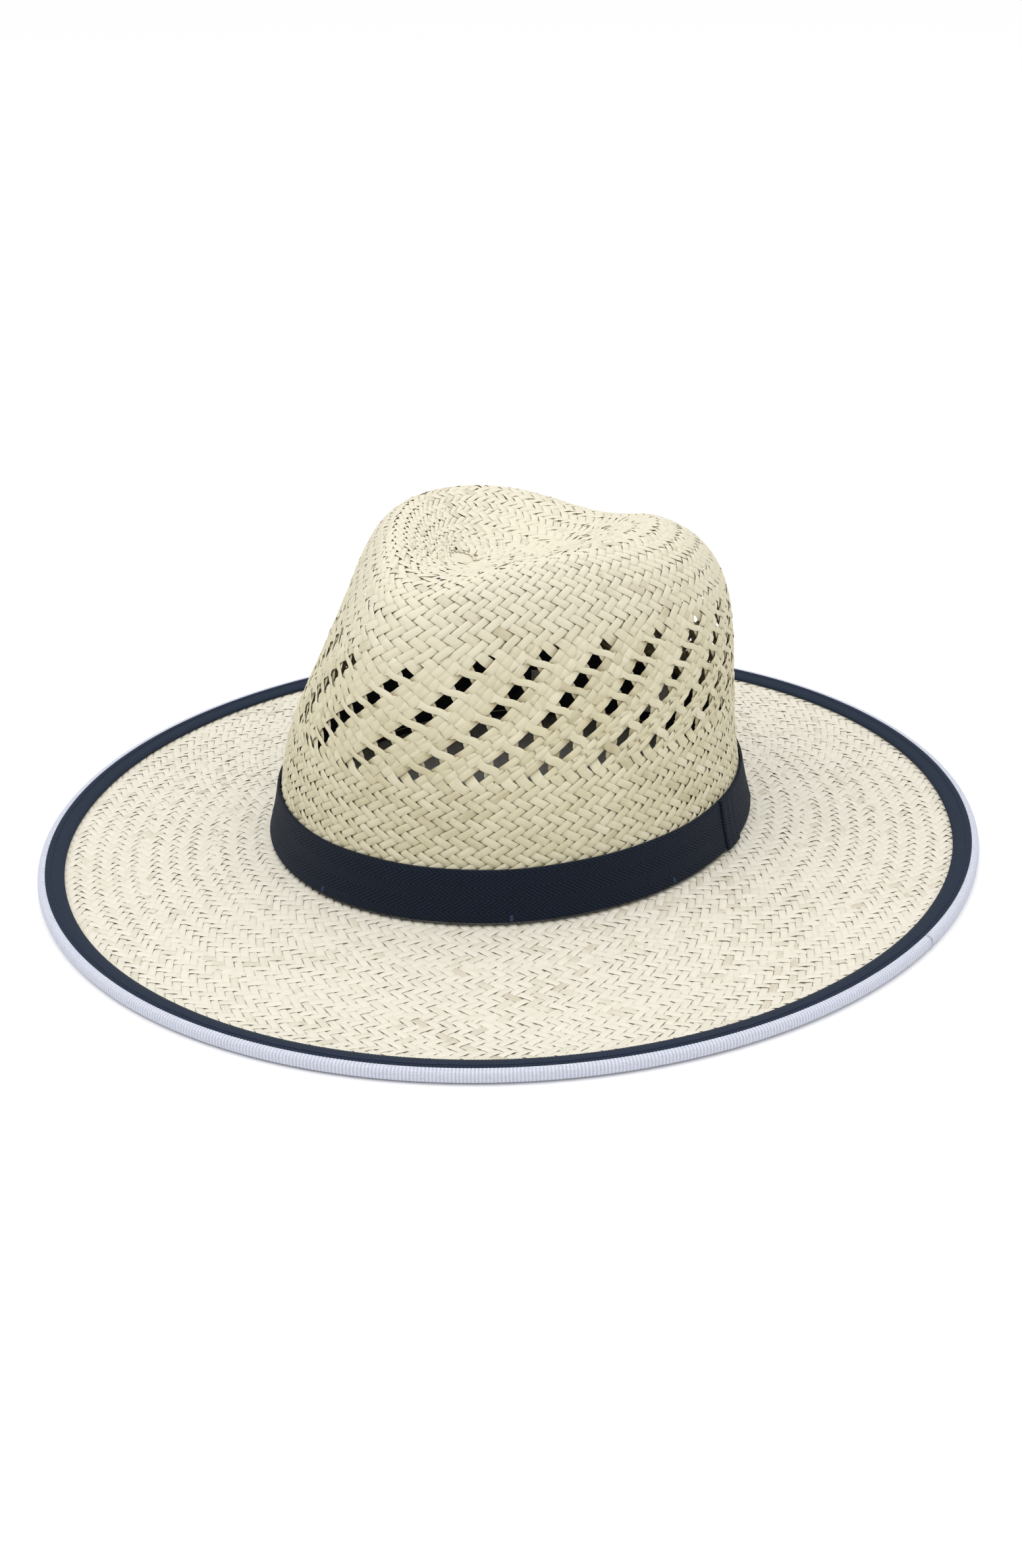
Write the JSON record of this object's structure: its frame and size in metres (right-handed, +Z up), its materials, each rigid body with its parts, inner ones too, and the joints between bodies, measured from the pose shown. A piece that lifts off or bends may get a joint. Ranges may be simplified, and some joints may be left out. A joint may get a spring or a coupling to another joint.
{
  "type": "fedora hat",
  "caption": "Wide-brim woven straw fedora with teardrop crown, slanted vent holes, dark tape band and bound brim edge.",
  "frame": {"origin": "centre of the oval, on the flat ring that the bound brim edge stands on", "axes": "+Z up through the crown, -Y towards the front pinch, +X towards the wearer's left, where the band loop is"},
  "size_m": [0.366, 0.389, 0.1308],
  "materials": {
    "crown_straw": "woven paper straw, satin",
    "brim_straw": "fine woven paper straw, satin",
    "navy_tape": "herringbone cotton tape, matt",
    "navy_ribbon": "grosgrain ribbon, matt",
    "navy_thread": "sewing thread",
    "white_binding": "grosgrain ribbon, matt",
    "white_thread": "sewing thread",
    "pale_thread": "sewing thread",
    "wire_steel": "bright spring wire",
    "sweat_tape": "ribbed cotton tape, matt",
    "label_cloth": "blank woven label"
  },
  "bodies": {
    "hat": {"crown": "crown_straw", "brim": "brim_straw", "crown_seam_stitching": "pale_thread", "hat_band": "navy_tape", "band_loop": "navy_tape", "band_tack_stitches": "navy_thread", "brim_ribbon": "navy_ribbon", "ribbon_stitching": "navy_thread", "edge_binding": "white_binding", "binding_stitching": "white_thread", "brim_wire": "wire_steel", "wire_joiner": "wire_steel", "sweatband": "sweat_tape", "sweatband_join_tape": "sweat_tape", "sweatband_stitching": "pale_thread", "brand_label": "label_cloth", "size_label": "label_cloth", "label_stitches": "pale_thread", "care_label_tab": "label_cloth"},
    "care_label": {"care_label": "label_cloth"}
  },
  "joints": [
    {"name": "care_label_flip", "type": "hinge", "parent": "hat", "child": "care_label", "pos_m": [0.012, 0.08886, 0.0376], "axis": [1, 0, 0], "range_deg": [-150, 0]}
  ]
}
